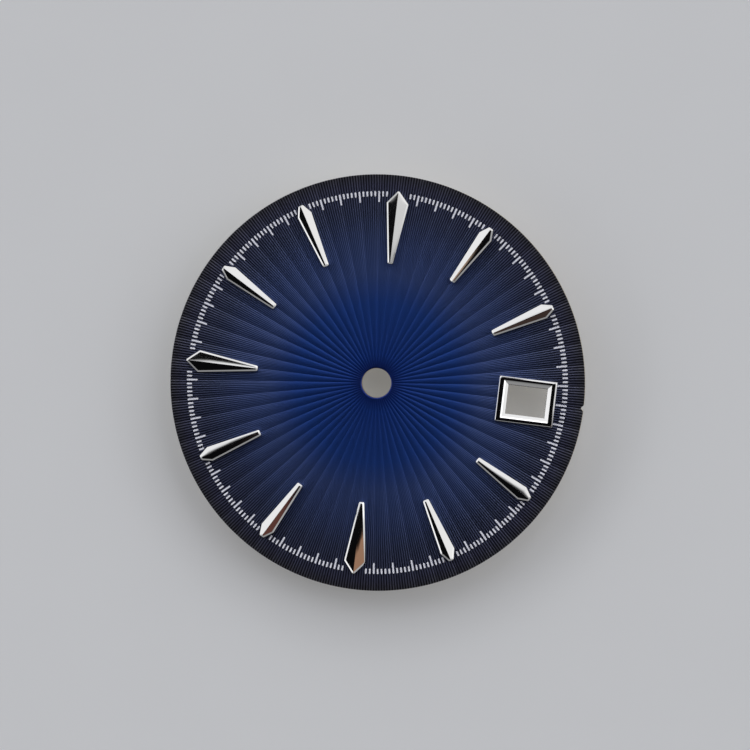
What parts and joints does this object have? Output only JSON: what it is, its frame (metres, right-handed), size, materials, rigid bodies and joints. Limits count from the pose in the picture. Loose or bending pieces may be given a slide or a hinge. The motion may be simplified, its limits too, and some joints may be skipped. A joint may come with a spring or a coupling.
{
  "type": "watch dial",
  "caption": "Round watch dial with a fluted sunburst face, applied faceted indices, printed minute track and a framed date window.",
  "frame": {"origin": "centre of the hand hole at the back face of the plate", "axes": "+Z out of the face towards the reader, +Y towards 12 o'clock, +X towards 3 o'clock"},
  "size_m": [0.0285, 0.0286, 0.0029],
  "materials": {
    "lacquered_brass": "blue fume lacquer",
    "polished_metal": "mirror polished",
    "copper": "plain copper",
    "white_ink": "pad printed"
  },
  "bodies": {
    "root": {"dial_plate": "lacquered_brass", "index_12": "polished_metal", "index_01": "polished_metal", "index_02": "polished_metal", "index_04": "polished_metal", "index_05": "polished_metal", "index_06": "polished_metal", "index_07": "polished_metal", "index_08": "polished_metal", "index_09": "polished_metal", "index_10": "polished_metal", "index_11": "polished_metal", "date_frame": "polished_metal", "dial_foot_a": "copper", "dial_foot_b": "copper", "minute_ticks": "white_ink", "short_ticks": "white_ink"}
  },
  "joints": []
}
